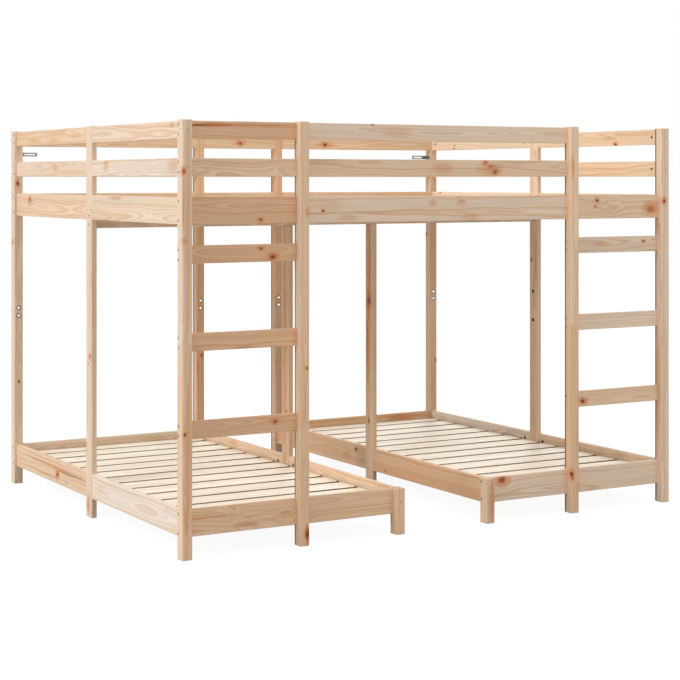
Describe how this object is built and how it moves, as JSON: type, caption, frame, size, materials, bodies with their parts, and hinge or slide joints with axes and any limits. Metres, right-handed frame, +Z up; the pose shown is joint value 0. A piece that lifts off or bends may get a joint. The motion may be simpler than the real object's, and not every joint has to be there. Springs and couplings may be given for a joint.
{
  "type": "triple bunk bed",
  "caption": "Knotty pine bunk bed: lower beds side by side with an aisle between, a wide deck over them with guard rails, and built-in ladders.",
  "frame": {"origin": "centre of the footprint, on the floor", "axes": "+X to the right along the front, +Y to the back, +Z up"},
  "size_m": [2.602, 2.116, 1.82],
  "materials": {
    "pine": "satin clear lacquer on knotty pine",
    "pale_pine": "planed, pale, unlacquered",
    "hardwood": "planed",
    "steel": "zinc plated"
  },
  "bodies": {
    "root": {"corner_post_front_left_lower": "pine", "corner_post_front_left_upper": "pine", "corner_post_front_right_lower": "pine", "corner_post_front_right_upper": "pine", "corner_post_back_left_lower": "pine", "corner_post_back_left_upper": "pine", "corner_post_back_right_lower": "pine", "corner_post_back_right_upper": "pine", "ladder_post_left_lower": "pine", "ladder_post_left_upper": "pine", "ladder_post_right_lower": "pine", "ladder_post_right_upper": "pine", "inner_post_back_left_lower": "pine", "inner_post_back_left_upper": "pine", "inner_post_back_right_lower": "pine", "inner_post_back_right_upper": "pine", "side_board_left_lower": "pine", "side_board_left_upper": "pine", "side_board_right_lower": "pine", "side_board_right_upper": "pine", "bed_leg_left": "pine", "bed_leg_right": "pine", "inner_board_left": "pine", "inner_board_right": "pine", "cross_beam": "pine", "beam_cap": "pine", "front_guard_rails": "pine", "front_bed_rails": "pine", "back_guard_rails": "pine", "back_bed_rails": "pine", "left_guard_rails": "pine", "left_bed_rails": "pine", "right_guard_rails": "pine", "right_bed_rails": "pine", "left_ladder_rungs": "pine", "right_ladder_rungs": "pine", "left_bed_front_rails": "pine", "left_bed_back_rail": "pine", "left_bed_outer_rails": "pine", "left_bed_inner_rails": "pine", "right_bed_front_rails": "pine", "right_bed_back_rail": "pine", "right_bed_outer_rails": "pine", "right_bed_inner_rails": "pine", "lower_battens": "pale_pine", "deck_battens": "pale_pine", "left_bed_slats": "pale_pine", "right_bed_slats": "pale_pine", "deck_front_slats": "pale_pine", "deck_back_slats": "pale_pine", "dowels": "hardwood", "board_tongues": "hardwood", "connecting_screws": "steel", "joining_studs": "steel", "joint_cams": "steel", "barrel_bolts": "steel", "tie_rods": "steel", "barrel_nuts": "steel", "wood_screws": "steel", "wall_brackets": "steel"}
  },
  "joints": []
}
